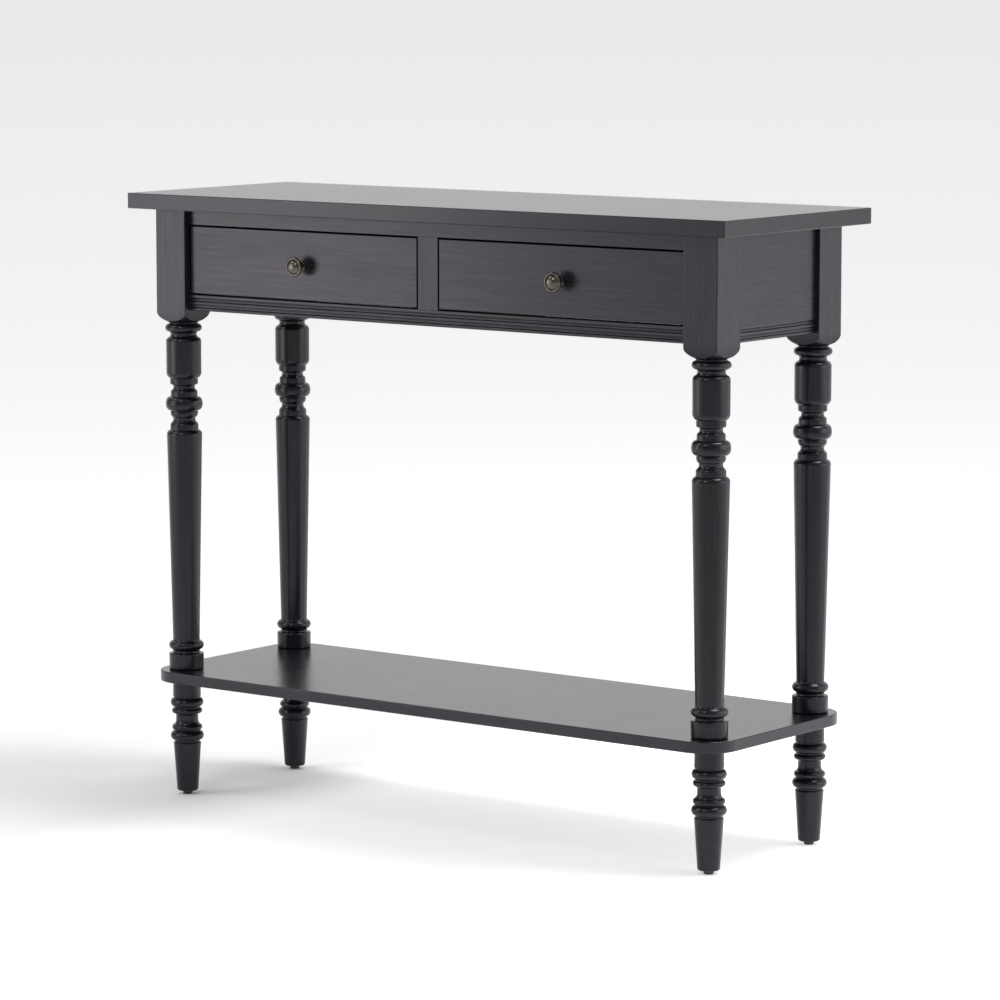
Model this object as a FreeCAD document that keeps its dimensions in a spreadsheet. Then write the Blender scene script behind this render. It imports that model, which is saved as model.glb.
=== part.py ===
import FreeCAD, Part
import os, math
import Sketcher

V = FreeCAD.Vector
doc = FreeCAD.newDocument("console_table")

# ---------------------------------------------------------------- dimensions
# Millimetres. X is the width, Y runs from front (-) to back (+), Z is up.
# The origin is the centre of the footprint, on the floor.
dims = doc.addObject("Spreadsheet::Sheet", "dims")
dims.Label = "dims"
_cells = [
    # overall
    ("total_ht", 775.0), ("top_w", 914.8), ("top_d", 312.6), ("top_thk", 19.5), ("top_ease", 0.8),
    # square posts, on the leg centre lines
    ("post_sq", 48.2), ("leg_x", 407.5), ("leg_y", 107.7), ("post_ease", 1.0),
    # lower shelf
    ("shelf_w", 883.2), ("shelf_d", 292.0), ("shelf_z", 149.5), ("shelf_top", 163.4), ("shelf_corner", 42.5),
    ("shelf_ease", 1.2), ("shelf_hole_r", 4.3),
    # frame boards
    ("board_thk", 19.0), ("front_set", 9.0), ("side_set", 6.0), ("apron_z", 627.3), ("low_rail_z", 647.1),
    ("top_rail_z", 736.2), ("stile_w", 30.0), ("stile_line", 0.35),
    # reeded moulding along the bottom of the aprons, levels above apron_z and depths behind the face
    ("reed_in", 2.0), ("reed_mid", 1.1), ("reed_fil", 0.5),
    # drawers
    ("gap", 2.0), ("front_ease", 1.0), ("box_side", 12.0), ("box_ht", 70.0), ("box_y", 92.0), ("box_in", 17.6),
    ("slide_gap", 0.3), ("ply_thk", 5.0), ("groove_dp", 6.0), ("ply_up", 10.0), ("ply_play", 0.15),
    # drawer supports
    ("run_thk", 18.0), ("run_in", 24.0), ("run_pin_in", 18.0), ("guide_ht", 25.0), ("guide_play", 0.9), ("kick_thk", 19.0),
    # fasteners
    ("dowel_r", 4.0), ("dowel_len", 30.0), ("rail_dowel_in", 11.0), ("pin_r", 3.0), ("pin_len", 24.0), ("play", 0.05),
    ("bolt_r", 4.0), ("bolt_top", 180.0), ("bolt_bot", 112.0), ("insert_r", 6.0), ("insert_len", 18.0),
    ("screw_r", 2.1), ("screw_head_r", 4.2), ("screw_head_ht", 2.4),
    # glides
    ("glide_r", 6.0), ("glide_thk", 2.2), ("foot_z", 4.6), ("nail_r", 1.3), ("nail_top", 22.0),
    # knob
    ("knob_z", 691.4), ("knob_hole_r", 2.25), ("knob_thread_r", 2.0), ("knob_out", 20.2),
]

# Turned profile of the upper leg: (radius, height) corners, 'A' rows carry a mid point of an arc.
UP = [
    ("L", 20.16, 163.4), ("A", 21.56, 164.0, 22.08, 165.6), ("L", 22.24, 182.4), ("A", 21.85, 183.9, 20.55, 184.5),
    ("L", 17.95, 184.9), ("A", 17.1, 186.9, 18.35, 188.9), ("A", 22.32, 194.7, 18.34, 199.9),
    ("A", 17.42, 201.0, 17.21, 202.6), ("L", 17.25, 206.0), ("L", 22.48, 465.0), ("A", 21.76, 469.6, 18.8, 472.3),
    ("L", 18.0, 472.6), ("L", 17.96, 478.8), ("A", 17.45, 480.3, 16.1, 482.0), ("A", 14.15, 486.0, 16.29, 489.8),
    ("A", 17.54, 493.2, 17.12, 496.8), ("L", 18.4, 497.2), ("A", 21.55, 499.2, 23.11, 502.6), ("A", 23.47, 505.8, 23.04, 509.2),
    ("A", 21.82, 512.7, 18.41, 515.0), ("L", 17.11, 515.4), ("L", 17.03, 521.4), ("A", 16.5, 522.7, 15.59, 523.6),
    ("A", 13.71, 527.0, 15.79, 530.5), ("A", 17.29, 531.1, 17.75, 532.6), ("L", 17.78, 538.4), ("L", 18.43, 538.9),
    ("A", 21.14, 541.6, 22.3, 545.8), ("L", 22.4, 585.2), ("A", 21.5, 588.8, 18.24, 591.4),
    ("A", 16.65, 594.9, 19.04, 598.2), ("A", 23.37, 603.3, 19.05, 608.2), ("A", 18.35, 609.3, 19.05, 610.6),
]
# Turned profile of the foot below the shelf.
LOW = [
    ("L", 11.91, 4.6), ("A", 13.08, 5.45, 13.62, 7.0), ("L", 17.6, 66.4), ("A", 17.35, 67.6, 16.45, 68.3),
    ("L", 16.05, 68.6), ("L", 16.05, 70.4), ("A", 21.3, 76.8, 16.37, 82.7), ("L", 16.26, 83.5), ("A", 19.32, 87.7, 15.99, 91.4),
    ("A", 14.7, 94.4, 14.28, 98.0), ("L", 14.24, 103.2), ("A", 14.91, 104.6, 16.28, 105.4), ("A", 19.48, 109.0, 16.3, 112.5),
    ("L", 16.3, 113.9), ("A", 21.0, 119.9, 16.64, 125.9), ("L", 16.57, 127.2), ("A", 17.69, 127.7, 17.92, 128.9),
    ("L", 17.7, 149.5),
]
# Shoulder where the square of the post runs out into the turning.
POM = [("L", 19.05, 610.6), ("A", 23.85, 612.5, 28.95, 616.0), ("A", 32.65, 620.2, 34.25, 627.6)]
# Knob, measured out from the drawer face: (radius, distance).
KNOB = [
    ("L", 6.4, 0.0), ("L", 6.4, 1.2), ("A", 6.0, 1.9, 5.1, 2.3), ("A", 4.2, 6.0, 5.3, 9.9), ("A", 7.0, 11.5, 9.8, 12.2),
    ("A", 11.8, 12.8, 12.3, 14.4), ("A", 11.9, 16.0, 10.6, 16.6), ("A", 9.6, 16.6, 9.2, 16.2), ("A", 6.3, 18.9, 1.5, 20.2),
    ("L", 0.0, 20.2),
]
for nm, rows in (("up", UP), ("low", LOW), ("pom", POM), ("knob", KNOB)):
    for i, row in enumerate(rows):
        _cells.append(("%s_rad_%s" % (nm, chr(97 + i // 26) + chr(97 + i % 26)), row[-2]))
        _cells.append(("%s_lev_%s" % (nm, chr(97 + i // 26) + chr(97 + i % 26)), row[-1]))
for i, (alias, val) in enumerate(_cells, 1):
    dims.set("A%d" % i, alias)
    dims.set("B%d" % i, repr(float(val)))
    dims.setAlias("B%d" % i, alias)
doc.recompute()


def val(alias):
    return float(dims.get(alias))


def ex(s):
    """Turn a formula in cell names into one that names the sheet."""
    import re
    return re.sub(r"[a-z_][a-z_0-9]*", lambda m: "dims." + m.group(0), str(s))


def num(s):
    """The value of a formula in cell names, for geometry that needs a start value."""
    import re
    toks = re.sub(r"[a-z_][a-z_0-9]*", lambda m: repr(val(m.group(0))), str(s))
    return _calc(toks)


def _calc(s):
    # a small arithmetic reader: + - * / and brackets
    pos = [0]
    s = s.replace(" ", "")

    def atom():
        c = s[pos[0]]
        if c == "-":
            pos[0] += 1
            return -atom()
        if c == "+":
            pos[0] += 1
            return atom()
        if c == "(":
            pos[0] += 1
            v = expr()
            pos[0] += 1
            return v
        j = pos[0]
        while j < len(s) and (s[j].isdigit() or s[j] == "."):
            j += 1
        v = float(s[pos[0]:j])
        pos[0] = j
        return v

    def term():
        v = atom()
        while pos[0] < len(s) and s[pos[0]] in "*/":
            op = s[pos[0]]
            pos[0] += 1
            w = atom()
            v = v * w if op == "*" else v / w
        return v

    def expr():
        v = term()
        while pos[0] < len(s) and s[pos[0]] in "+-":
            op = s[pos[0]]
            pos[0] += 1
            w = term()
            v = v + w if op == "+" else v - w
        return v

    return expr()


# ---------------------------------------------------------------- small helpers
nodes = []
_n = [0]


def uid(s):
    _n[0] += 1
    return "%s_%d" % (s, _n[0])


def place(obj, x="0", y="0", z="0", rot=None):
    if rot is not None:
        obj.Placement = FreeCAD.Placement(V(0, 0, 0), rot)
    for ax, e in zip("xyz", (x, y, z)):
        obj.setExpression("Placement.Base." + ax, ex(e))


def box(x0, x1, y0, y1, z0, z1):
    b = doc.addObject("Part::Box", uid("board"))
    b.setExpression("Length", ex("(%s)-(%s)" % (x1, x0)))
    b.setExpression("Width", ex("(%s)-(%s)" % (y1, y0)))
    b.setExpression("Height", ex("(%s)-(%s)" % (z1, z0)))
    place(b, x0, y0, z0)
    return b


ROT = {
    "+Z": FreeCAD.Rotation(), "-Z": FreeCAD.Rotation(V(1, 0, 0), 180),
    "+X": FreeCAD.Rotation(V(0, 1, 0), 90), "-X": FreeCAD.Rotation(V(0, 1, 0), -90),
    "+Y": FreeCAD.Rotation(V(1, 0, 0), -90), "-Y": FreeCAD.Rotation(V(1, 0, 0), 90),
}


def cyl(r, length, axis, x, y, z):
    c = doc.addObject("Part::Cylinder", uid("rod"))
    c.setExpression("Radius", ex(r))
    c.setExpression("Height", ex(length))
    place(c, x, y, z, ROT[axis])
    return c


def cone(r1, r2, length, axis, x, y, z):
    c = doc.addObject("Part::Cone", uid("taper"))
    c.setExpression("Radius1", ex(r1))
    c.setExpression("Radius2", ex(r2))
    c.setExpression("Height", ex(length))
    place(c, x, y, z, ROT[axis])
    return c


def fuse(objs):
    f = doc.addObject("Part::MultiFuse", uid("joined"))
    f.Shapes = objs
    return f


def cut(base, tools):
    c = doc.addObject("Part::Cut", uid("cut"))
    c.Base = base
    if len(tools) == 1:
        c.Tool = tools[0]
    else:
        t = doc.addObject("Part::Compound", uid("cutters"))
        t.Links = tools
        c.Tool = t
    return c


def group(objs):
    g = doc.addObject("Part::Compound", uid("group"))
    g.Links = objs
    return g


def node(label, obj):
    obj.Label = label
    nodes.append(obj)
    return obj


def plane(body, role):
    for f in body.Origin.OriginFeatures:
        if f.Role == role:
            return f


def new_body(name):
    return doc.addObject("PartDesign::Body", uid(name))


def sketch(body, role, offset=None):
    s = body.newObject("Sketcher::SketchObject", uid("profile"))
    s.AttachmentSupport = [(plane(body, role), "")]
    s.MapMode = "FlatFace"
    if offset is not None:
        s.setExpression("AttachmentOffset.Base.z", ex(offset))
    return s


def loop(sk, pts):
    """Closed outline. pts: rows (xe, ye) joined by straight lines, or (xm, ym, xe, ye) for an arc
    through a mid point; coordinates are formulas in cell names, and each corner is dimensioned by them."""
    corners = [(p[-2], p[-1]) for p in pts]
    xy = [V(num(a), num(b), 0) for a, b in corners]
    n = len(pts)
    geo, ends = [], []
    for i in range(n):
        a, b = xy[i - 1], xy[i]
        if len(pts[i]) == 2:
            geo.append(Part.LineSegment(a, b))
            ends.append((1, 2))
        else:
            m = V(float(pts[i][0]), float(pts[i][1]), 0)
            d = 2 * (a.x * (m.y - b.y) + m.x * (b.y - a.y) + b.x * (a.y - m.y))
            ux = ((a.x**2 + a.y**2) * (m.y - b.y) + (m.x**2 + m.y**2) * (b.y - a.y) + (b.x**2 + b.y**2) * (a.y - m.y)) / d
            uy = ((a.x**2 + a.y**2) * (b.x - m.x) + (m.x**2 + m.y**2) * (a.x - b.x) + (b.x**2 + b.y**2) * (m.x - a.x)) / d
            c = V(ux, uy, 0)
            r = (a - c).Length
            ang = lambda q: math.atan2(q.y - c.y, q.x - c.x)
            a0, am, a1 = ang(a), ang(m), ang(b)
            ccw = ((am - a0) % (2 * math.pi)) < ((a1 - a0) % (2 * math.pi))
            if ccw:
                s0, s1 = a0, a1
                ends.append((1, 2))
            else:
                s0, s1 = a1, a0
                ends.append((2, 1))
            if s1 < s0:
                s1 += 2 * math.pi
            geo.append(Part.ArcOfCircle(Part.Circle(c, V(0, 0, 1), r), s0, s1))
    first = sk.GeometryCount
    sk.addGeometry(geo, False)
    cons = []
    for i in range(n):
        j = (i + 1) % n
        cons.append(Sketcher.Constraint("Coincident", first + i, ends[i][1], first + j, ends[j][0]))
    sk.addConstraint(cons)
    dimcons, exprs = [], []
    k = sk.ConstraintCount
    for i in range(n):
        g, e = first + i, ends[i][1]
        for kind, v, f in (("DistanceX", xy[i].x, corners[i][0]), ("DistanceY", xy[i].y, corners[i][1])):
            if abs(v) < 1e-9:
                dimcons.append(Sketcher.Constraint("PointOnObject", g, e, -2 if kind == "DistanceX" else -1))
            else:
                dimcons.append(Sketcher.Constraint(kind, -1, 1, g, e, v))
                if not isinstance(f, float):
                    exprs.append((k + len(dimcons) - 1, f))
    sk.addConstraint(dimcons)
    for idx, f in exprs:
        sk.setExpression("Constraints[%d]" % idx, ex(f))


def rect(sk, x0, x1, y0, y1):
    loop(sk, [(x1, y0), (x1, y1), (x0, y1), (x0, y0)])


def pad(body, sk, length, rev=False, mid=False):
    p = body.newObject("PartDesign::Pad", uid("pad"))
    p.Profile = sk
    p.setExpression("Length", ex(length))
    if mid:
        p.SideType = "Symmetric" if hasattr(p, "SideType") else 0
        if not hasattr(p, "SideType"):
            p.Midplane = True
    p.Reversed = rev
    sk.Visibility = False
    return p


def revolve(body, sk, groove=False):
    r = body.newObject("PartDesign::Groove" if groove else "PartDesign::Revolution", uid("turning"))
    r.Profile = sk
    r.ReferenceAxis = (sk, ["V_Axis"])
    r.Angle = 360.0
    return r


def edges_where(feat, test):
    out = []
    for i, e in enumerate(feat.Shape.Edges, 1):
        bb = e.BoundBox
        if test(bb):
            out.append("Edge%d" % i)
    return out


def ease(body, feat, test, size, kind="Fillet"):
    doc.recompute()
    names = edges_where(feat, test)
    f = body.newObject("PartDesign::" + kind, uid("eased"))
    f.Base = (feat, names)
    f.setExpression("Radius" if kind == "Fillet" else "Size", ex(size))
    return f


def profile_rows(prefix, rows):
    """Corner formulas for a turned profile, in the order of the rows."""
    out = []
    for i, row in enumerate(rows):
        tag = chr(97 + i // 26) + chr(97 + i % 26)
        c = ("%s_rad_%s" % (prefix, tag), "%s_lev_%s" % (prefix, tag))
        out.append(c if row[0] == "L" else (row[1], row[2]) + c)
    return out


near = lambda a, b, t=0.02: abs(a - b) < t

# ---------------------------------------------------------------- tabletop
b = new_body("tabletop")
s = sketch(b, "XY_Plane")
rect(s, "-top_w/2", "top_w/2", "-top_d/2", "top_d/2")
p = pad(b, s, "top_thk")
f = ease(b, p, lambda bb: True, "top_ease", "Chamfer")
b.Tip = f
place(b, "0", "0", "total_ht-top_thk")
top_solid = b

# ---------------------------------------------------------------- lower shelf
b = new_body("shelf")
s = sketch(b, "XY_Plane")
W2, D2, R = "shelf_w/2", "shelf_d/2", "shelf_corner"
w2, d2, rc = num(W2), num(D2), num(R)
k = rc * (1 - math.sqrt(0.5))
loop(s, [
    (W2 + "-" + R, "-" + D2), (w2 - k, -d2 + k, W2, "-" + D2 + "+" + R),
    (W2, D2 + "-" + R), (w2 - k, d2 - k, W2 + "-" + R, D2),
    ("-" + W2 + "+" + R, D2), (-w2 + k, d2 - k, "-" + W2, D2 + "-" + R),
    ("-" + W2, "-" + D2 + "+" + R), (-w2 + k, -d2 + k, "-" + W2 + "+" + R, "-" + D2),
])
p = pad(b, s, "shelf_top-shelf_z")
t = num("shelf_top-shelf_z")
f = ease(b, p, lambda bb: bb.ZLength < 0.01, "shelf_ease")
# four clearance holes, one on each leg centre line
doc.recompute()
sh = sketch(b, "XY_Plane")
for sx in (-1, 1):
    for sy in (-1, 1):
        g = sh.addGeometry(Part.Circle(V(sx * val("leg_x"), sy * val("leg_y"), 0), V(0, 0, 1), val("shelf_hole_r")), False)
        c0 = sh.ConstraintCount
        sh.addConstraint([
            Sketcher.Constraint("DistanceX", -1, 1, g, 3, sx * val("leg_x")),
            Sketcher.Constraint("DistanceY", -1, 1, g, 3, sy * val("leg_y")),
            Sketcher.Constraint("Radius", g, val("shelf_hole_r")),
        ])
        sh.setExpression("Constraints[%d]" % c0, ex(("-" if sx < 0 else "") + "leg_x"))
        sh.setExpression("Constraints[%d]" % (c0 + 1), ex(("-" if sy < 0 else "") + "leg_y"))
        sh.setExpression("Constraints[%d]" % (c0 + 2), ex("shelf_hole_r"))
v0 = b.Shape.Volume
h = b.newObject("PartDesign::Pocket", uid("bolt_holes"))
h.Profile = sh
h.Type = "ThroughAll"
h.Reversed = True
doc.recompute()
if not b.Shape.Volume < v0 - 100:
    h.Reversed = False
    doc.recompute()
assert b.Shape.Volume < v0 - 100, "shelf holes cut nothing"
place(b, "0", "0", "shelf_z")
node("lower_shelf", b)

# ---------------------------------------------------------------- legs and feet
apron_dowel_z = ("apron_z+28", "total_ht-top_thk-31")
rail_y = "leg_y+post_sq/2-front_set-board_thk/2"       # distance of the front and back board centres from the middle
side_x = "leg_x+post_sq/2-side_set-board_thk/2"        # distance of the side board centres from the middle
rail_dowel_low, rail_dowel_top = "(apron_z+low_rail_z)/2", "(top_rail_z+total_ht-top_thk)/2"


def sgn(s, e):
    return "(%s)" % e if s > 0 else "-(%s)" % e


def leg(label, sx, sy):
    b = new_body(label)
    s = sketch(b, "XZ_Plane")
    rows = profile_rows("up", UP)
    loop(s, [("0", "up_lev_aa")] + rows + [("0", rows[-1][-1])])
    r = revolve(b, s)
    doc.recompute()
    s2 = sketch(b, "XY_Plane", "pom_lev_aa")
    rect(s2, "-post_sq/2", "post_sq/2", "-post_sq/2", "post_sq/2")
    p = pad(b, s2, "total_ht-top_thk-pom_lev_aa")
    half = val("post_sq") / 2
    f = ease(b, p, lambda bb: bb.ZLength > 100 and near(abs(bb.XMin), half) and near(abs(bb.YMin), half) and bb.XLength < 0.01 and bb.YLength < 0.01, "post_ease")
    doc.recompute()
    s3 = sketch(b, "XZ_Plane")
    pr = profile_rows("pom", POM)
    loop(s3, [("40", pr[0][-1]), ("40", pr[-1][-1]), pr[-1][-2:]] + [pr[2][:2] + pr[1][-2:], pr[1][:2] + pr[0][-2:]])
    v0 = b.Shape.Volume
    g = revolve(b, s3, groove=True)
    doc.recompute()
    assert b.Shape.Volume < v0 - 500, "shoulder of %s cut nothing" % label
    place(b, sgn(sx, "leg_x"), sgn(sy, "leg_y"), "0")
    tools = []
    inx = sgn(sx, "leg_x-post_sq/2")
    iny = sgn(sy, "leg_y-post_sq/2")
    ax, ay = ("+X" if sx > 0 else "-X"), ("+Y" if sy > 0 else "-Y")
    for z in ((rail_dowel_low, rail_dowel_top) if sy < 0 else apron_dowel_z):
        tools.append(cyl("dowel_r+play", "dowel_len/2+0.5", ax, inx, sgn(sy, rail_y), z))
    for z in apron_dowel_z:
        tools.append(cyl("dowel_r+play", "dowel_len/2+0.5", ay, sgn(sx, side_x), iny, z))
    tools.append(cyl("insert_r+play", "insert_len+0.5", "+Z", sgn(sx, "leg_x"), sgn(sy, "leg_y"), "shelf_top"))
    node(label, cut(b, tools))


def foot(label, sx, sy):
    b = new_body(label)
    s = sketch(b, "XZ_Plane")
    rows = profile_rows("low", LOW)
    loop(s, [("0", "low_lev_aa")] + rows + [("0", rows[-1][-1])])
    revolve(b, s)
    place(b, sgn(sx, "leg_x"), sgn(sy, "leg_y"), "0")
    x, y = sgn(sx, "leg_x"), sgn(sy, "leg_y")
    tools = [cyl("bolt_r+play", "shelf_z-bolt_bot+1", "+Z", x, y, "bolt_bot-0.5"),
             cyl("nail_r+play", "nail_top-foot_z+1.5", "+Z", x, y, "foot_z-1")]
    node(label, cut(b, tools))


CORNERS = [("front_left", -1, -1), ("front_right", 1, -1), ("back_left", -1, 1), ("back_right", 1, 1)]
for nm, sx, sy in CORNERS:
    leg("leg_" + nm, sx, sy)
for nm, sx, sy in CORNERS:
    foot("foot_" + nm, sx, sy)

# threaded brass insert in each leg, and the steel double-ended bolt that clamps leg, shelf and foot together
ins, bolts, pads, nails = [], [], [], []
for nm, sx, sy in CORNERS:
    x, y = sgn(sx, "leg_x"), sgn(sy, "leg_y")
    ins.append(cut(cyl("insert_r", "insert_len", "+Z", x, y, "shelf_top+0.3"),
                   [cyl("bolt_r+play", "insert_len+2", "+Z", x, y, "shelf_top-0.5")]))
    bolts.append(cyl("bolt_r", "bolt_top-bolt_bot", "+Z", x, y, "bolt_bot"))
    # plastic glide: a disc with a rounded rim, on a headed nail
    b = new_body("pad")
    s = sketch(b, "XZ_Plane")
    r0, t0 = val("glide_r"), val("glide_thk")
    loop(s, [("0", "0"), ("glide_r-0.7", "0"), (r0 - 0.205, 0.205, "glide_r", "0.7"), ("glide_r", "glide_thk"), ("0", "glide_thk")])
    revolve(b, s)
    place(b, x, y, "0")
    pads.append(b)
    nails.append(fuse([cyl("glide_r-0.6", "foot_z-glide_thk", "+Z", x, y, "glide_thk"),
                       cyl("nail_r", "nail_top-foot_z+0.5", "+Z", x, y, "foot_z-0.5")]))
node("leg_inserts", group(ins))
node("leg_bolts", group(bolts))
node("glide_pads", group(pads))
node("glide_nails", group(nails))

# ---------------------------------------------------------------- frame boards
post_in = "leg_x-post_sq/2"          # inner face of the posts, across
post_iy = "leg_y-post_sq/2"          # inner face of the posts, front to back
face_y = "leg_y+post_sq/2-front_set"  # front and back board outer faces
face_x = "leg_x+post_sq/2-side_set"   # side board outer faces
inner_y = face_y + "-board_thk"
inner_x = face_x + "-board_thk"
post_top = "total_ht-top_thk"


def reed_rows(top_z, top_round):
    """Section of a board whose lower part is worked into three beads with small fillets between them.
    First coordinate: distance behind the board's face; second: height."""
    a = val("apron_z")
    rows = [("board_thk", "apron_z"), ("board_thk", top_z)]
    if top_round:
        tz = num(top_z)
        rows += [("0.9", top_z), (0.26, tz - 0.26, "0", top_z + "-0.9")]
    else:
        rows += [("0", top_z)]
    rows += [
        ("0", "apron_z+17.3"), (0.62, a + 15.8, "reed_in", "apron_z+15.0"),       # upper bead rolls in
        ("reed_in", "apron_z+14.6"), ("reed_mid", "apron_z+14.5"),
        (0.5, a + 13.4, "reed_mid", "apron_z+12.2"),                                # small bead
        ("reed_in", "apron_z+11.9"),
        (0.0, a + 9.6, "reed_in", "apron_z+7.2"),                                   # middle bead
        ("reed_in", "apron_z+6.6"), ("reed_mid", "apron_z+6.5"),
        (0.5, a + 5.4, "reed_mid", "apron_z+4.2"),                                  # small bead
        ("reed_in", "apron_z+3.9"),
        (0.0, a + 2.0, "reed_mid", "apron_z"),                                      # lowest bead
    ]
    return rows


def reeded_board(label, length, top_z, top_round, rot, x, y):
    b = new_body(label)
    s = sketch(b, "YZ_Plane")
    loop(s, reed_rows(top_z, top_round))
    p = pad(b, s, length)
    doc.recompute()
    place(b, x, y, "0", rot)
    return b


# The section runs along the body's own +X; its face looks to the body's own -Y.
low_rail = reeded_board("low_rail", "2*(" + post_in + ")", "low_rail_z", True, FreeCAD.Rotation(), "-(" + post_in + ")", "-(" + face_y + ")")
side_r = reeded_board("side_r", "2*(" + post_iy + ")", post_top, False, FreeCAD.Rotation(V(0, 0, 1), 90), face_x, "-(" + post_iy + ")")
side_l = reeded_board("side_l", "2*(" + post_iy + ")", post_top, False, FreeCAD.Rotation(V(0, 0, 1), -90), "-(" + face_x + ")", post_iy)
back = reeded_board("back", "2*(" + post_in + ")", post_top, False, FreeCAD.Rotation(V(0, 0, 1), 180), post_in, face_y)

top_rail = box("-(" + post_in + ")", post_in, "-(" + face_y + ")", "-(" + inner_y + ")", "top_rail_z", post_top)
stile = box("-stile_w/2", "stile_w/2", "-(" + face_y + ")", "-(" + inner_y + ")", "low_rail_z", "top_rail_z-stile_line")

# supports of the drawers: a runner under each drawer side, a guide beside it and a kicker above it
run_z0 = "low_rail_z-run_thk"
out_run = inner_x
RUN = [("left", -1), ("centre", 0), ("right", 1)]
run_half = "stile_w/2+run_in"
guide_half = "box_in-guide_play"
edge_in = post_in + "-run_in"


def strip(side, z0, z1):
    """A strip from the front rail to the back board; the outer ones are notched round the posts."""
    if side == 0:
        return box("-(" + run_half + ")", run_half, "-(" + inner_y + ")", inner_y, z0, z1)
    b = new_body("strip")
    s = sketch(b, "XY_Plane")
    xi, xm, xo = sgn(side, edge_in), sgn(side, post_in + "-0.2"), sgn(side, out_run)
    pts = [(xi, "-(" + inner_y + ")"), (xm, "-(" + inner_y + ")"), (xm, "-(" + post_iy + "-0.2)"), (xo, "-(" + post_iy + "-0.2)"),
           (xo, post_iy + "-0.2"), (xm, post_iy + "-0.2"), (xm, inner_y), (xi, inner_y)]
    loop(s, pts)
    pad(b, s, "(%s)-(%s)" % (z1, z0))
    place(b, "0", "0", z0)
    return b


# round pins: in the ends of rails and aprons, in the stile, and in the ends of runners and kickers
post_dowels, stile_pins, run_pins = [], [], []
low_tools, top_tools, back_tools, stile_tools = [], [], [], []
side_tools = {-1: [], 1: []}
for sx in (-1, 1):
    ax = "+X" if sx > 0 else "-X"
    for z, y, bag in ((rail_dowel_low, "-(" + rail_y + ")", low_tools), (rail_dowel_top, "-(" + rail_y + ")", top_tools),
                      (apron_dowel_z[0], rail_y, back_tools), (apron_dowel_z[1], rail_y, back_tools)):
        # the front rails take them less deep, clear of the runner pins
        deep = "dowel_len/2" if bag is back_tools else "rail_dowel_in"
        post_dowels.append(cyl("dowel_r", "dowel_len/2+" + deep, ax, sgn(sx, post_in + "-" + deep), y, z))
        bag.append(cyl("dowel_r+play", deep + "+1.5", ax, sgn(sx, post_in + "-" + deep + "-0.5"), y, z))
    for sy in (-1, 1):
        ay = "+Y" if sy > 0 else "-Y"
        for z in apron_dowel_z:
            post_dowels.append(cyl("dowel_r", "dowel_len", ay, sgn(sx, side_x), sgn(sy, post_iy + "-dowel_len/2"), z))
            side_tools[sx].append(cyl("dowel_r+play", "dowel_len/2+1.5", ay, sgn(sx, side_x), sgn(sy, post_iy + "-dowel_len/2-0.5"), z))
for z, ax, bag in (("low_rail_z", "+Z", low_tools), ("top_rail_z", "-Z", top_tools)):
    # ten millimetres into the rail, the rest into the stile
    z0 = z + ("-10" if ax == "+Z" else "+10")
    stile_pins.append(cyl("pin_r", "pin_len", ax, "0", "-(" + rail_y + ")", z0))
    zt = z + ("-10.3" if ax == "+Z" else "+10.3")
    bag.append(cyl("pin_r+play", "11.3", ax, "0", "-(" + rail_y + ")", zt))
    stile_tools.append(cyl("pin_r+play", "pin_len-10+1.3", ax, "0", "-(" + rail_y + ")", z + ("-1" if ax == "+Z" else "+1")))
run_parts, kick_parts = {}, {}
for nm, sd in RUN:
    xs = ["-(" + run_half + "-8)", run_half + "-8"] if sd == 0 else [sgn(sd, post_in + "-run_pin_in")]
    for kind, zc in (("run", run_z0 + "+run_thk/2"), ("kick", post_top + "-kick_thk/2")):
        tools = []
        for x in xs:
            for sy in (-1, 1):
                ay = "+Y" if sy > 0 else "-Y"
                run_pins.append(cyl("pin_r", "pin_len", ay, x, sgn(sy, inner_y + "-pin_len+10"), zc))
                tools.append(cyl("pin_r+play", "pin_len-10+1.3", ay, x, sgn(sy, inner_y + "-pin_len+10-0.3"), zc))
                bag = back_tools if sy > 0 else (low_tools if kind == "run" else top_tools)
                bag.append(cyl("pin_r+play", "11.3", ay, x, sgn(sy, inner_y + "-1"), zc))
        (run_parts if kind == "run" else kick_parts)[sd] = tools

node("front_bottom_rail", cut(low_rail, low_tools))
node("front_top_rail", cut(top_rail, top_tools))
node("centre_stile", cut(stile, stile_tools))
node("side_apron_left", cut(side_l, side_tools[-1]))
node("side_apron_right", cut(side_r, side_tools[1]))
node("back_apron", cut(back, back_tools))
node("apron_dowels", group(post_dowels))
node("stile_dowels", group(stile_pins))
node("runner_dowels", group(run_pins))

# screws: guides down on to the runners, kickers up into the tabletop
guide_screws, top_screws, top_tools = [], [], []


def screw(x, y, z, axis, length):
    """Countersunk wood screw, its flat head at (x, y, z), the shank along axis."""
    return fuse([cone("screw_head_r", "screw_r", "screw_head_ht", axis, x, y, z), cyl("screw_r", length, axis, x, y, z)])


def screw_hole(x, y, z, axis, length):
    back_off = {"+Z": ("0", "-1"), "-Z": ("0", "+1")}[axis][1]
    return [cone("screw_head_r+play", "screw_r+play", "screw_head_ht+play", axis, x, y, z),
            cyl("screw_r+play", "%s+1" % length, axis, x, y, z + back_off),]


def head_room(x, y, z, axis):
    z0 = z if axis == "-Z" else z + "-1"
    return cyl("screw_head_r+play", "1", "+Z", x, y, z0)


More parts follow.
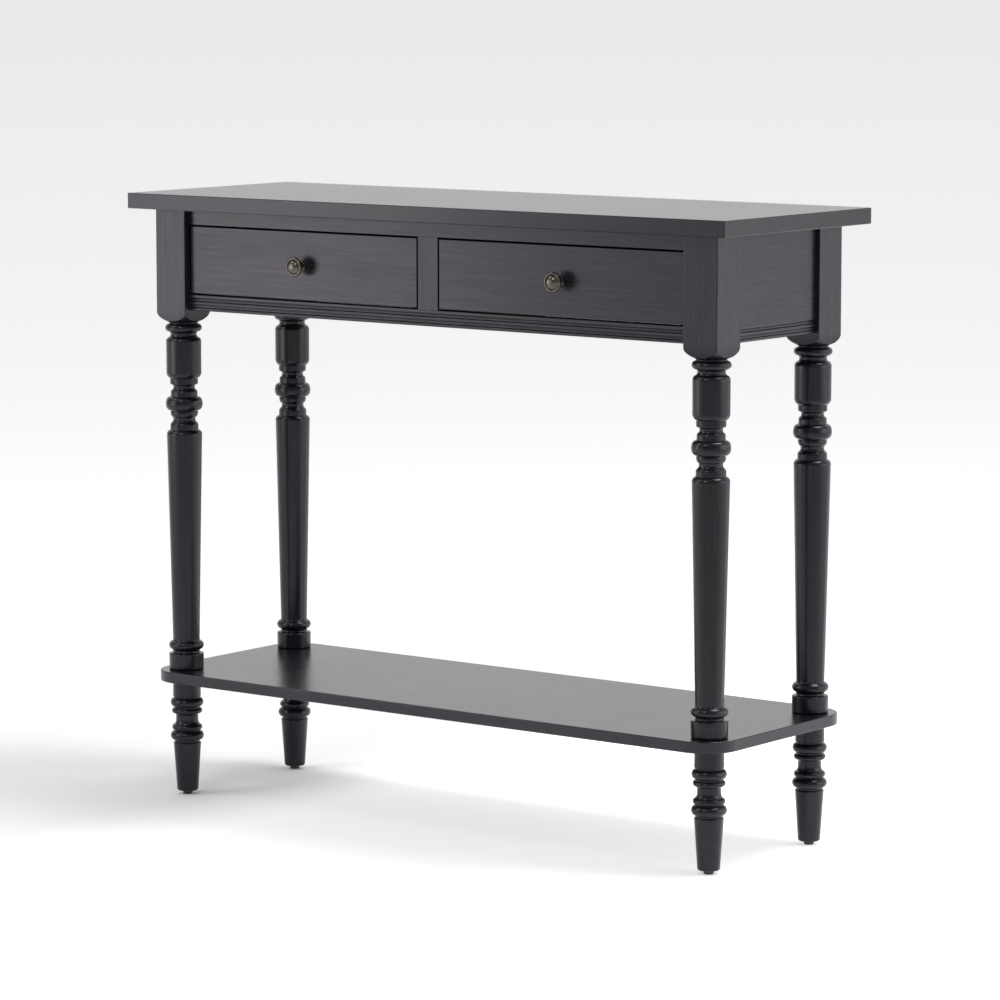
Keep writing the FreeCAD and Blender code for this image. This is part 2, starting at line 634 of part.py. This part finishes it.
for nm, sd in RUN:
    g_lo, g_hi = "low_rail_z", "low_rail_z+guide_ht"
    if sd == 0:
        g = box("-(" + guide_half + ")", guide_half, "-(" + inner_y + "-0.5)", inner_y + "-0.5", g_lo, g_hi)
        gx = "0"
    else:
        x_in = "(" + post_in + ")-0.9"
        a_, b_ = (sgn(sd, x_in), sgn(sd, out_run)) if sd > 0 else (sgn(sd, out_run), sgn(sd, x_in))
        g = box(a_, b_, "-(" + post_iy + "-0.2)", post_iy + "-0.2", g_lo, g_hi)
        gx = sgn(sd, "(" + post_in + "-0.9+" + out_run + ")/2")
    gt, rt = [], []
    for y in ("-60", "60"):
        guide_screws.append(screw(gx, y, "low_rail_z+guide_ht-0.6", "-Z", "36"))
        gt += screw_hole(gx, y, "low_rail_z+guide_ht-0.6", "-Z", "36.3") + [head_room(gx, y, "low_rail_z+guide_ht-0.6", "-Z")]
        rt.append(cyl("screw_r+play", "36.3", "-Z", gx, y, "low_rail_z+guide_ht-0.6"))
    node("drawer_guide_" + nm, cut(g, gt))
    r = strip(sd, run_z0, "low_rail_z")
    node("drawer_runner_" + nm, cut(r, run_parts[sd] + rt))
    kx = "0" if sd == 0 else sgn(sd, "(" + post_in + "+" + out_run + ")/2")
    kk = strip(sd, post_top + "-kick_thk", post_top)
    kt = []
    for y in ("-62", "62"):
        z = post_top + "-kick_thk+0.6"
        top_screws.append(screw(kx, y, z, "+Z", "30"))
        kt += screw_hole(kx, y, z, "+Z", "30.3") + [head_room(kx, y, z, "+Z")]
        top_tools.append(cyl("screw_r+play", "30.3", "+Z", kx, y, z))
    node("drawer_kicker_" + nm, cut(kk, kick_parts[sd] + kt))
node("guide_screws", group(guide_screws))
node("tabletop_screws", group(top_screws))
node("tabletop", cut(top_solid, top_tools))

# stop blocks on the back board, one behind each drawer side
stops = []
for sd in (-1, 1):
    for x in ("box_in+16", post_in + "-18.4"):
        a_, b_ = sgn(sd, x + "-8"), sgn(sd, x + "+8")
        if sd < 0:
            a_, b_ = b_, a_
        stops.append(box(a_, b_, "box_y+0.3", inner_y, "low_rail_z+12", "low_rail_z+52"))
node("drawer_stops", group(stops))

# ---------------------------------------------------------------- drawers
fx0, fx1 = "stile_w/2+gap", post_in + "-gap"
fz0, fz1 = "low_rail_z+gap", "top_rail_z-gap"
bx0, bx1 = "box_in", post_in + "-2"
bz0 = "low_rail_z+slide_gap"
bz1 = bz0 + "+box_ht"
by0 = "-(" + inner_y + ")"
ply_z = bz0 + "+ply_up"
PIN_Z = (bz0 + "+22", bz0 + "+52")


def span(sd, a, b):
    """Lower and upper X of a piece that lies from a to b on the right-hand side, or mirrored on the left."""
    return (a, b) if sd > 0 else ("-(" + b + ")", "-(" + a + ")")


for nm, sd in (("left", -1), ("right", 1)):
    pre = "drawer_%s_" % nm
    mid = "(" + fx0 + "+" + fx1 + ")/2"
    # front board, its outer edges slightly rounded
    b = new_body(pre + "front")
    s = sketch(b, "XZ_Plane")
    half_w, half_h = "((" + fx1 + ")-(" + fx0 + "))/2", "((" + fz1 + ")-(" + fz0 + "))/2"
    rect(s, "-" + half_w, half_w, "-" + half_h, half_h)
    p = pad(b, s, "board_thk")            # grows towards the body's own -Y
    doc.recompute()
    ymin = p.Shape.BoundBox.YMin
    f = ease(b, p, lambda bb: near(bb.YMin, ymin) and near(bb.YMax, ymin), "front_ease")
    doc.recompute()
    place(b, sgn(sd, mid), "-(" + inner_y + ")", "(" + fz0 + "+" + fz1 + ")/2")
    # cutters shared by the boards of this drawer
    gx0, gx1 = span(sd, bx0 + "+box_side-groove_dp", bx1 + "-box_side+groove_dp")
    gy0, gy1 = "-(" + inner_y + ")-groove_dp", "box_y-box_side+groove_dp"
    panel_groove = lambda: box(gx0, gx1, gy0, gy1, ply_z, ply_z + "+ply_thk")
    px0, px1 = span(sd, bx0 + "+box_side-groove_dp+ply_play", bx1 + "-box_side+groove_dp-ply_play")
    panel = box(px0, px1, gy0 + "+ply_play", gy1 + "-ply_play", ply_z + "+0.05", ply_z + "+ply_thk-0.05")
    side_in = span(sd, bx0, bx0 + "+box_side")
    side_out = span(sd, bx1 + "-box_side", bx1)
    sides = [box(side_in[0], side_in[1], by0, "box_y", bz0, bz1), box(side_out[0], side_out[1], by0, "box_y", bz0, bz1)]
    bk0, bk1 = span(sd, bx0 + "+box_side", bx1 + "-box_side")
    back_b = box(bk0, bk1, "box_y-box_side", "box_y", bz0, bz1)
    pins, front_tools, back_t, side_t = [], [], [], [[], []]
    for i, xc in enumerate((bx0 + "+box_side/2", bx1 + "-box_side/2")):
        for z in PIN_Z:
            pins.append(cyl("pin_r", "pin_len", "-Y", sgn(sd, xc), "-(" + inner_y + ")+pin_len-10", z))
            front_tools.append(cyl("pin_r+play", "11.3", "-Y", sgn(sd, xc), "-(" + inner_y + ")+1", z))
            side_t[i].append(cyl("pin_r+play", "pin_len-10+1.3", "-Y", sgn(sd, xc), "-(" + inner_y + ")+pin_len-10+0.3", z))
        # pins through the sides into the back board
        a0 = (bx0 if i == 0 else bx1)
        dirn = "+X" if (i == 0) == (sd > 0) else "-X"
        for z in PIN_Z:
            pins.append(cyl("pin_r", "pin_len+6", dirn, sgn(sd, a0), "box_y-box_side/2", z))
            side_t[i].append(cyl("pin_r+play", "box_side+2", dirn, sgn(sd, a0 + ("-1" if i == 0 else "+1")), "box_y-box_side/2", z))
            back_t.append(cyl("pin_r+play", "pin_len-box_side+7.3", dirn, sgn(sd, a0 + ("+box_side-1" if i == 0 else "-box_side+1")), "box_y-box_side/2", z))
    hole = cyl("knob_hole_r", "board_thk+2", "+Y", sgn(sd, mid), "-(" + inner_y + ")-board_thk-1", "knob_z")
    node(pre + "front", cut(b, front_tools + [hole, panel_groove()]))
    inner_nm, outer_nm = ("right", "left") if sd < 0 else ("left", "right")
    node(pre + "side_" + inner_nm, cut(sides[0], side_t[0] + [panel_groove()]))
    node(pre + "side_" + outer_nm, cut(sides[1], side_t[1] + [panel_groove()]))
    node(pre + "back", cut(back_b, back_t + [panel_groove()]))
    node(pre + "bottom", panel)
    node(pre + "dowels", group(pins))
    # knob: turned, its axis along the body's own +Z, turned to face the front
    b = new_body(pre + "knob")
    s = sketch(b, "XZ_Plane")
    rows = profile_rows("knob", KNOB)
    loop(s, [("0", "0")] + rows)
    revolve(b, s)
    place(b, sgn(sd, mid), "-(" + face_y + ")", "knob_z", ROT["-Y"])
    tap = cyl("knob_thread_r+play", "9", "-Y", sgn(sd, mid), "-(" + face_y + ")+1", "knob_z")
    node(pre + "knob", cut(b, [tap]))
    sc = fuse([cyl("knob_thread_r", "board_thk+7", "-Y", sgn(sd, mid), "-(" + inner_y + ")", "knob_z"),
               cone("4.4", "3.2", "2.4", "+Y", sgn(sd, mid), "-(" + inner_y + ")", "knob_z")])
    node(pre + "knob_screw", sc)

# ---------------------------------------------------------------- check and write
doc.recompute()
bad = [o.Name for o in doc.Objects if ("Invalid" in o.State or "Error" in o.State)]
if bad:
    raise RuntimeError("failed objects: %s" % bad[:20])
names = [o.Label for o in nodes]
assert len(names) == len(set(names)), "two sub-parts share a name"
for o in nodes:
    sh = o.Shape
    if sh.isNull() or not sh.isValid() or sh.Volume <= 0 or not sh.Solids:
        raise RuntimeError("sub-part %s is not sound" % o.Label)
os.makedirs("parts", exist_ok=True)
for old in os.listdir("parts"):
    if old.endswith(".step"):
        os.remove(os.path.join("parts", old))
for o in nodes:
    o.Shape.exportStep("parts/%s.step" % o.Label)
    bb = o.Shape.BoundBox
    print("%-28s solids %2d  x %8.2f %8.2f  y %8.2f %8.2f  z %8.2f %8.2f  vol %10.1f" % (
        o.Label, len(o.Shape.Solids), bb.XMin, bb.XMax, bb.YMin, bb.YMax, bb.ZMin, bb.ZMax, o.Shape.Volume))
print(len(nodes), "nodes")
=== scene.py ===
import math

import bpy
from mathutils import Matrix, Vector

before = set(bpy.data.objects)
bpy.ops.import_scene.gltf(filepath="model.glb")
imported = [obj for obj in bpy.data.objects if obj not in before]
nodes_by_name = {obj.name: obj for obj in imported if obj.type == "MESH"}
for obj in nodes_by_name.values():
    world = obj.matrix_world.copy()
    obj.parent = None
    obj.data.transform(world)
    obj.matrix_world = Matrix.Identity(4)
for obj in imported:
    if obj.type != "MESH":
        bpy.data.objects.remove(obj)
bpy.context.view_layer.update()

# ---------------------------------------------------------------- node helpers


class Graph:
    """A small writer of node trees."""

    def __init__(self, tree):
        self.tree = tree
        self.n = tree.nodes
        self.l = tree.links

    def new(self, kind, **props):
        node = self.n.new(kind)
        for k, v in props.items():
            setattr(node, k, v)
        return node

    def put(self, node, key, value):
        sock = node.inputs[key]
        if isinstance(value, bpy.types.NodeSocket):
            self.l.new(value, sock)
        else:
            sock.default_value = value

    def math(self, op, a, b=None, c=None, clamp=False):
        m = self.new("ShaderNodeMath", operation=op, use_clamp=clamp)
        self.put(m, 0, a)
        if b is not None:
            self.put(m, 1, b)
        if c is not None:
            self.put(m, 2, c)
        return m.outputs[0]

    def noise(self, vector, scale=(1, 1, 1), shift=(0, 0, 0), detail=3.0, rough=0.55, distort=0.0):
        mp = self.new("ShaderNodeMapping")
        mp.inputs["Scale"].default_value = scale
        mp.inputs["Location"].default_value = shift
        self.put(mp, "Vector", vector)
        t = self.new("ShaderNodeTexNoise")
        t.inputs["Scale"].default_value = 1.0
        t.inputs["Detail"].default_value = detail
        t.inputs["Roughness"].default_value = rough
        t.inputs["Distortion"].default_value = distort
        self.put(t, "Vector", mp.outputs[0])
        return t.outputs["Fac"]

    def remap(self, value, a0, a1, b0, b1, smooth=False):
        m = self.new("ShaderNodeMapRange")
        if smooth:
            m.interpolation_type = "SMOOTHSTEP"
        self.put(m, "Value", value)
        for key, v in (("From Min", a0), ("From Max", a1), ("To Min", b0), ("To Max", b1)):
            self.put(m, key, v)
        return m.outputs[0]

    def mix(self, fac, a, b, blend="MIX"):
        m = self.new("ShaderNodeMix", data_type="RGBA", blend_type=blend)
        self.put(m, 0, fac)
        for key, v in ((6, a), (7, b)):
            self.put(m, key, v if isinstance(v, bpy.types.NodeSocket) else tuple(v) + (1.0,))
        return m.outputs[2]


def material(name):
    m = bpy.data.materials.new(name)
    m.use_nodes = True
    m.node_tree.nodes.clear()
    g = Graph(m.node_tree)
    out = g.new("ShaderNodeOutputMaterial")
    bsdf = g.new("ShaderNodeBsdfPrincipled")
    g.l.new(bsdf.outputs[0], out.inputs["Surface"])
    return m, g, bsdf


def along(axis, grain, across):
    """Noise scale for a figure drawn out along one axis."""
    s = [across, across, across]
    s["xyz".index(axis)] = grain
    return tuple(s)


# ---------------------------------------------------------------- black stained wood


def black_wood(name, axis, rough=0.31, turned=False, top=False, seed=0.0):
    m, g, b = material(name)
    co = g.new("ShaderNodeTexCoord").outputs["Object"]
    off = (seed, seed * 1.7, seed * 0.6)
    # slow drift of the grain lines, so that they don't run dead straight
    drift = g.noise(co, along(axis, 3.0, 9.0), off, detail=2.0)
    wob = g.new("ShaderNodeVectorMath", operation="MULTIPLY_ADD")
    comb = g.new("ShaderNodeCombineXYZ")
    for i in range(3):
        g.put(comb, i, drift)
    g.put(wob, 0, comb.outputs[0])
    k = [0.006, 0.006, 0.006]
    k["xyz".index(axis)] = 0.0
    wob.inputs[1].default_value = k
    g.put(wob, 2, co)
    w = wob.outputs[0]
    fine = g.noise(w, along(axis, 16.0, 620.0), off, detail=3.0, rough=0.6)
    dash = g.noise(w, along(axis, 15.0, 360.0), (off[0] + 4, off[1] + 2, off[2]), detail=5.0, rough=0.72)
    band = g.noise(w, along(axis, 3.5, 46.0), (off[0] + 9, off[1], off[2] + 5), detail=3.0, rough=0.55)
    patch = g.noise(co, along(axis, 7.0, 15.0), (off[0] + 1, off[1] + 7, off[2] + 3), detail=2.0, rough=0.5)
    pore = g.noise(w, along(axis, 60.0, 1500.0), (off[0] + 2, off[1] + 3, off[2] + 8), detail=1.0)

    # colour: near-black stain, purple-grey where it is thin, a grey-green cast in patches
    tint = g.mix(g.remap(patch, 0.44, 0.56, 0.0, 1.0, True), (0.0064, 0.0038, 0.0092), (0.0044, 0.0050, 0.0036))
    tint = g.mix(g.remap(band, 0.35, 0.68, 0.0, 0.75), tint, (0.0104, 0.0072, 0.0140))
    # where the post is square (above the turned shaft) the brushed streaks are as strong as on the boards
    flat = 1.0
    if turned:
        sep = g.new("ShaderNodeSeparateXYZ")
        g.put(sep, 0, co)
        flat = g.remap(sep.outputs[2], 0.6125, 0.6290, 0.0, 1.0, True)
    streak = g.math("MULTIPLY", g.remap(dash, 0.44, 0.72, 0.0, 0.25 if top else 0.85), g.remap(flat, 0.0, 1.0, 0.8, 1.0))
    tint = g.mix(streak, tint, (0.030, 0.0238, 0.0390))
    thin = g.remap(fine, 0.30, 0.50, 0.6, 0.0, True)
    tint = g.mix(thin, tint, (0.0026, 0.0024, 0.0030))
    if turned:
        tint = g.mix(flat, g.mix(1.0, tint, (0.6, 0.6, 0.6), "MULTIPLY"), tint)
    g.put(b, "Base Color", tint)

    # roughness: satin, a little duller along the open grain
    swing = 0.015 if top else 0.05
    r = g.remap(fine, 0.25, 0.75, rough + swing, rough - swing)
    r = g.math("ADD", r, g.remap(band, 0.3, 0.7, -swing * 0.5, swing * 0.5))
    if turned:
        # the turned length is polished finer than the flat faces of the post
        r = g.math("ADD", r, g.math("MULTIPLY", flat, 0.31 - rough))
    if axis == "x" and not top:
        # the edges that face each other across the drawer gaps are left raw and matt
        at = g.new("ShaderNodeSeparateXYZ")
        g.put(at, 0, co)
        facing = g.new("ShaderNodeSeparateXYZ")
        g.put(facing, 0, g.new("ShaderNodeNewGeometry").outputs["Normal"])
        raw = g.math("GREATER_THAN", g.math("ABSOLUTE", facing.outputs[2]), 0.7)
        for lo, hi in ((0.6466, 0.6496),):
            raw = g.math("MULTIPLY", raw, g.math("GREATER_THAN", at.outputs[2], lo))
            raw = g.math("MULTIPLY", raw, g.math("LESS_THAN", at.outputs[2], hi))
        r = g.math("ADD", r, g.math("MULTIPLY", raw, 0.6))
    g.put(b, "Roughness", r)
    b.inputs["IOR"].default_value = 1.5
    # the stain gives the gloss itself a faint violet cast when looked at squarely
    # the turned lengths carry a thinner, less reflective lacquer
    if turned:
        g.put(b, "Specular IOR Level", g.remap(flat, 0.0, 1.0, 0.36, 0.5))
    b.inputs["Specular Tint"].default_value = (0.966, 0.928, 1.0, 1.0)

    # relief: grain lines and pores
    h = g.math("ADD", g.math("MULTIPLY", fine, 0.7), g.math("MULTIPLY", pore, 0.5))
    bump = g.new("ShaderNodeBump")
    bump.inputs["Strength"].default_value = 0.035 if turned else (0.010 if top else 0.07)
    bump.inputs["Distance"].default_value = 0.0004
    g.put(bump, "Height", h)
    g.l.new(bump.outputs[0], b.inputs["Normal"])
    return m


# ---------------------------------------------------------------- inner wood


def plain_wood(name, axis, seed=0.0, ply=False):
    m, g, b = material(name)
    co = g.new("ShaderNodeTexCoord").outputs["Object"]
    off = (seed + 3.0, seed * 2.1, seed)
    ring = g.noise(co, along(axis, 2.2, 42.0), off, detail=3.0, rough=0.5, distort=0.35)
    wave = g.math("FRACT", g.math("MULTIPLY", ring, 7.0))
    line = g.remap(g.math("ABSOLUTE", g.math("SUBTRACT", wave, 0.5)), 0.0, 0.5, 1.0, 0.0, True)
    fibre = g.noise(co, along(axis, 22.0, 900.0), off, detail=3.0, rough=0.6)
    base = g.mix(line, (0.47, 0.305, 0.165), (0.36, 0.205, 0.098))
    base = g.mix(g.remap(fibre, 0.35, 0.65, 0.0, 0.45), base, (0.54, 0.375, 0.225))
    if ply:
        # thin veneers show on the edges of the sheet
        sep = g.new("ShaderNodeSeparateXYZ")
        g.put(sep, 0, co)
        lay = g.math("FRACT", g.math("MULTIPLY", sep.outputs[2], 1.0 / 0.0033))
        geo = g.new("ShaderNodeNewGeometry")
        nz = g.new("ShaderNodeSeparateXYZ")
        g.put(nz, 0, geo.outputs["Normal"])
        edge = g.remap(g.math("ABSOLUTE", nz.outputs[2]), 0.3, 0.7, 1.0, 0.0)
        base = g.mix(g.math("MULTIPLY", g.remap(lay, 0.46, 0.54, 0.0, 1.0), edge), base, (0.27, 0.15, 0.075))
    # painted shade: faces that point downwards are coloured near black
    turn = g.new("ShaderNodeNewGeometry")
    facing = g.new("ShaderNodeSeparateXYZ")
    g.put(facing, 0, turn.outputs["Normal"])
    painted_shade_below = g.remap(facing.outputs[2], -0.85, -0.5, 1.0, 0.0)
    base = g.mix(painted_shade_below, base, (0.012, 0.011, 0.012))
    g.put(b, "Base Color", base)
    g.put(b, "Roughness", g.remap(fibre, 0.3, 0.7, 0.62, 0.50))
    bump = g.new("ShaderNodeBump")
    bump.inputs["Strength"].default_value = 0.25
    bump.inputs["Distance"].default_value = 0.0003
    g.put(bump, "Height", fibre)
    g.l.new(bump.outputs[0], b.inputs["Normal"])
    return m


# ---------------------------------------------------------------- metals and plastic


def aged_brass(name):
    m, g, b = material(name)
    co = g.new("ShaderNodeTexCoord").outputs["Object"]
    blot = g.noise(co, (190, 190, 190), (0, 0, 0), detail=4.0, rough=0.6)
    fine = g.noise(co, (900, 900, 900), (5, 1, 2), detail=2.0)
    g.put(b, "Base Color", g.mix(g.remap(blot, 0.35, 0.65, 0.0, 1.0), (0.088, 0.079, 0.066), (0.130, 0.117, 0.098)))
    b.inputs["Metallic"].default_value = 1.0
    g.put(b, "Roughness", g.remap(blot, 0.3, 0.7, 0.17, 0.24))
    bump = g.new("ShaderNodeBump")
    bump.inputs["Strength"].default_value = 0.05
    bump.inputs["Distance"].default_value = 0.0002
    g.put(bump, "Height", fine)
    g.l.new(bump.outputs[0], b.inputs["Normal"])
    return m


def metal(name, colour, dull, rough, seed):
    m, g, b = material(name)
    co = g.new("ShaderNodeTexCoord").outputs["Object"]
    blot = g.noise(co, (260, 260, 260), (seed, 0, 0), detail=4.0, rough=0.6)
    turn = g.noise(co, (40, 40, 1800), (0, seed, 0), detail=2.0)
    g.put(b, "Base Color", g.mix(g.remap(blot, 0.35, 0.7, 0.0, 1.0), colour, dull))
    b.inputs["Metallic"].default_value = 1.0
    g.put(b, "Roughness", g.remap(blot, 0.3, 0.7, rough, rough + 0.14))
    bump = g.new("ShaderNodeBump")
    bump.inputs["Strength"].default_value = 0.12
    bump.inputs["Distance"].default_value = 0.0002
    g.put(bump, "Height", turn)
    g.l.new(bump.outputs[0], b.inputs["Normal"])
    return m


def glide_plastic(name):
    m, g, b = material(name)
    co = g.new("ShaderNodeTexCoord").outputs["Object"]
    grit = g.noise(co, (1400, 1400, 1400), (0, 0, 0), detail=2.0)
    scuff = g.noise(co, (120, 120, 120), (2, 2, 2), detail=4.0)
    g.put(b, "Base Color", g.mix(g.remap(scuff, 0.4, 0.65, 0.0, 1.0), (0.018, 0.018, 0.019), (0.035, 0.034, 0.034)))
    g.put(b, "Roughness", g.remap(scuff, 0.3, 0.7, 0.42, 0.58))
    bump = g.new("ShaderNodeBump")
    bump.inputs["Strength"].default_value = 0.15
    bump.inputs["Distance"].default_value = 0.0002
    g.put(bump, "Height", grit)
    g.l.new(bump.outputs[0], b.inputs["Normal"])
    return m


MATS = {
    "top": black_wood("wood_black_top", "x", rough=0.27, top=True, seed=2.0),
    "shelf": black_wood("wood_black_shelf", "x", rough=0.262, top=True, seed=5.0),
    "bx": black_wood("wood_black_along_x", "x", seed=0.0),
    "by": black_wood("wood_black_along_y", "y", seed=11.0),
    "bz": black_wood("wood_black_upright", "z", seed=7.0),
    "leg": black_wood("wood_black_turned", "z", rough=0.245, turned=True, seed=3.0),
    "foot": black_wood("wood_black_foot", "z", rough=0.245, turned=True, seed=3.0),
    "px": plain_wood("wood_plain_along_x", "x", seed=1.0),
    "py": plain_wood("wood_plain_along_y", "y", seed=4.0),
    "pz": plain_wood("wood_plain_upright", "z", seed=6.0),
    "ply": plain_wood("plywood_sheet", "y", seed=8.0, ply=True),
    "knob": aged_brass("knob_brass_aged"),
    "insert": metal("insert_brass_bright", (0.62, 0.44, 0.19), (0.40, 0.27, 0.11), 0.28, 1.0),
    "steel": metal("steel_zinc", (0.56, 0.56, 0.57), (0.36, 0.37, 0.38), 0.30, 2.0),
    "nail": metal("steel_blackened", (0.10, 0.10, 0.105), (0.045, 0.045, 0.047), 0.38, 3.0),
    "glide": glide_plastic("glide_plastic_black"),
}


def finish_of(n):
    if n == "tabletop":
        return "top"
    if n == "lower_shelf":
        return "shelf"
    if n.startswith("leg_insert"):
        return "insert"
    if n == "glide_nails":
        return "nail"
    if n in ("leg_bolts", "guide_screws", "tabletop_screws") or n.endswith("knob_screw"):
        return "steel"
    if n == "glide_pads":
        return "glide"
    if n.startswith("leg_"):
        return "leg"
    if n.startswith("foot_"):
        return "foot"
    if n.endswith("_knob"):
        return "knob"
    if n in ("front_bottom_rail", "front_top_rail", "back_apron") or n.endswith("_front"):
        return "bx"
    if n.startswith("side_apron"):
        return "by"
    if n == "centre_stile":
        return "bz"
    if n.endswith("_bottom"):
        return "ply"
    if n.endswith("_back"):
        return "px"
    if n.startswith(("drawer_runner", "drawer_guide", "drawer_kicker")):
        return "by"
    if n == "drawer_stops":
        return "bz"
    if n == "stile_dowels":
        return "pz"
    if n == "apron_dowels":
        return "px"
    return "py"


for name, ob in nodes_by_name.items():
    mat = MATS[finish_of(name)]
    if not ob.material_slots:
        ob.data.materials.append(mat)
    for s in ob.material_slots:
        s.material = mat

# ---------------------------------------------------------------- floor

FWD = Vector((-0.600, 0.800, 0.0)).normalized()
SIDE = Vector((0.800, 0.600, 0.0)).normalized()
# painted light: strength of the floor's painted glow
FLOOR_GLOW = 1.0
me = bpy.data.meshes.new("floor")
E = 150.0
me.from_pydata([(-E, -E, 0), (E, -E, 0), (E, E, 0), (-E, E, 0)], [], [(0, 1, 2, 3)])
floor = bpy.data.objects.new("floor", me)
bpy.context.collection.objects.link(floor)
fm, g, b = material("floor_pale_painted_glow")
co = g.new("ShaderNodeTexCoord").outputs["Object"]
ln = g.new("ShaderNodeVectorMath", operation="LENGTH")
g.put(ln, 0, co)
dist = g.math("LOGARITHM", g.math("MAXIMUM", ln.outputs["Value"], 0.1), 10.0)
# painted light: the floor glows like a lamp, and in front of the table the sweep glows a little less
ahead = g.new("ShaderNodeVectorMath", operation="DOT_PRODUCT")
g.put(ahead, 0, co)
ahead.inputs[1].default_value = FWD
painted_glow_reach = g.remap(ahead.outputs["Value"], -1.45, -0.98, 0.0, 1.0, True)
# painted shade: the floor's colour turns darker far from the table, for light falling off across the sweep
pale_painted_falloff = g.mix(g.remap(dist, 0.55, 1.85, 0.0, 1.0, True), (0.90, 0.90, 0.90), (0.80, 0.80, 0.80))
g.put(b, "Base Color", pale_painted_falloff)
b.inputs["Roughness"].default_value = 0.9
b.inputs["Specular IOR Level"].default_value = 0.1
# painted light: a glowing floor stands in for bounce from the far sweep and, near the table, for softer light that
# lifts the shade under it, stronger on its right and towards the back; the dim glow on its left paints the shadow
# there
far_painted_glow = g.mix(g.remap(dist, 0.60, 1.75, 0.0, 1.0), (0.322, 0.322, 0.322), (0.295, 0.295, 0.295))
fsep = g.new("ShaderNodeSeparateXYZ")
g.put(fsep, 0, co)
painted_glow_right_back = g.mix(g.remap(fsep.outputs[1], -0.22, 0.10, 0.0, 1.0, True), (0.36, 0.36, 0.36), (0.52, 0.52, 0.52))
near_painted_glow = g.mix(g.remap(fsep.outputs[0], -0.44, -0.20, 0.0, 1.0, True), (0.04, 0.04, 0.04), painted_glow_right_back)
near_painted_glow = g.mix(g.remap(ahead.outputs["Value"], -0.75, -0.35, 1.0, 0.0, True), near_painted_glow, (0.12, 0.12, 0.12))
painted_floor_glow = g.mix(g.remap(dist, -0.15, 0.45, 0.0, 1.0, True), near_painted_glow, far_painted_glow)
# painted light: this emission paints a glow under the table and a painted shadow to its left and in front
g.put(b, "Emission Color", g.mix(painted_glow_reach, (0.10, 0.10, 0.10), painted_floor_glow))
b.inputs["Emission Strength"].default_value = FLOOR_GLOW
me.materials.append(fm)

# ---------------------------------------------------------------- light
# a soft broad lobe of light from each side: direction, how narrow, level
SKY = {
    "W_back": (FWD, 2.0, 1.08),
    "W_cam": (-FWD, 2.0, 0.30),
    "W_right": (SIDE, 3.0, 1.50),
    "W_left": (-SIDE, 3.0, 0.4),
    "W_up": (Vector((0, 0, 1)), 2.0, 0.6),
}
world = bpy.data.worlds.new("studio")
bpy.context.scene.world = world
world.use_nodes = True
world.node_tree.nodes.clear()
g = Graph(world.node_tree)
out = g.new("ShaderNodeOutputWorld")
direction = g.new("ShaderNodeTexCoord").outputs["Generated"]
total = None
for nm, (axis, narrow, level) in SKY.items():
    dot = g.new("ShaderNodeVectorMath", operation="DOT_PRODUCT")
    g.put(dot, 0, direction)
    dot.inputs[1].default_value = axis
    lobe = g.math("POWER", g.math("MAXIMUM", dot.outputs["Value"], 0.0), narrow)
    bg = g.new("ShaderNodeBackground")
    bg.name = nm
    bg.inputs["Strength"].default_value = level
    g.put(bg, "Color", lobe)
    if total is None:
        total = bg.outputs[0]
    else:
        add = g.new("ShaderNodeAddShader")
        g.l.new(total, add.inputs[0])
        g.l.new(bg.outputs[0], add.inputs[1])
        total = add.outputs[0]
g.l.new(total, out.inputs["Surface"])

AIM = Vector((0.0, 0.0, 0.42))
# name: azimuth from the front (-Y) towards +X, elevation, distance, width, height, radiance
BOXES = {
    "L_key": (118.0, 65.0, 3.0, 1.15, 1.15, 12.0),
    "L_left_mid": (-44.0, 9.0, 1.7, 0.7, 0.8, 2.40),
    "L_front_lo": (-26.0, 6.0, 3.0, 1.0, 1.2, 0.38),
    "L_front_spot": (5.0, 38.0, 3.0, 0.5, 0.8, 8.0),
    "L_left_spot": (-52.0, 44.0, 2.6, 0.6, 0.7, 5.0),
    "L_right_lo": (105.0, 9.0, 3.0, 1.6, 1.2, 1.65),
    "L_right_low": (126.0, 4.0, 3.0, 1.6, 1.0, 0.6),
}
for nm, (az, el, d, w, h, rad) in BOXES.items():
    a, e = math.radians(az), math.radians(el)
    back = Vector((math.sin(a) * math.cos(e), -math.cos(a) * math.cos(e), math.sin(e)))
    lt = bpy.data.lights.new(nm, "AREA")
    lt.shape = "RECTANGLE"
    lt.size, lt.size_y = w, h
    lt.energy = rad * math.pi * w * h
    lo = bpy.data.objects.new(nm, lt)
    lo.location = AIM + back * d
    lo.rotation_euler = back.to_track_quat("Z", "Y").to_euler()
    lo.visible_camera = False
    bpy.context.collection.objects.link(lo)

# ---------------------------------------------------------------- camera
cam = bpy.data.cameras.new("camera")
cam.sensor_width = 36.0
cam.lens = 159.1
cam.clip_start, cam.clip_end = 0.05, 400.0
co_ = bpy.data.objects.new("camera", cam)
zb = Vector((0.599757, -0.789950, 0.127558)).normalized()
xr = Vector((0.796467, 0.604682, -0.00014)).normalized()
yu = zb.cross(xr).normalized()
xr = yu.cross(zb).normalized()
mw = Matrix((xr, yu, zb)).transposed().to_4x4()
mw.translation = Vector((3.30645, -4.33296, 1.10303))
co_.matrix_world = mw
bpy.context.collection.objects.link(co_)
bpy.context.scene.camera = co_
bpy.context.scene.view_settings.view_transform = "Standard"
bpy.context.scene.view_settings.look = "None"

bpy.context.view_layer.update()
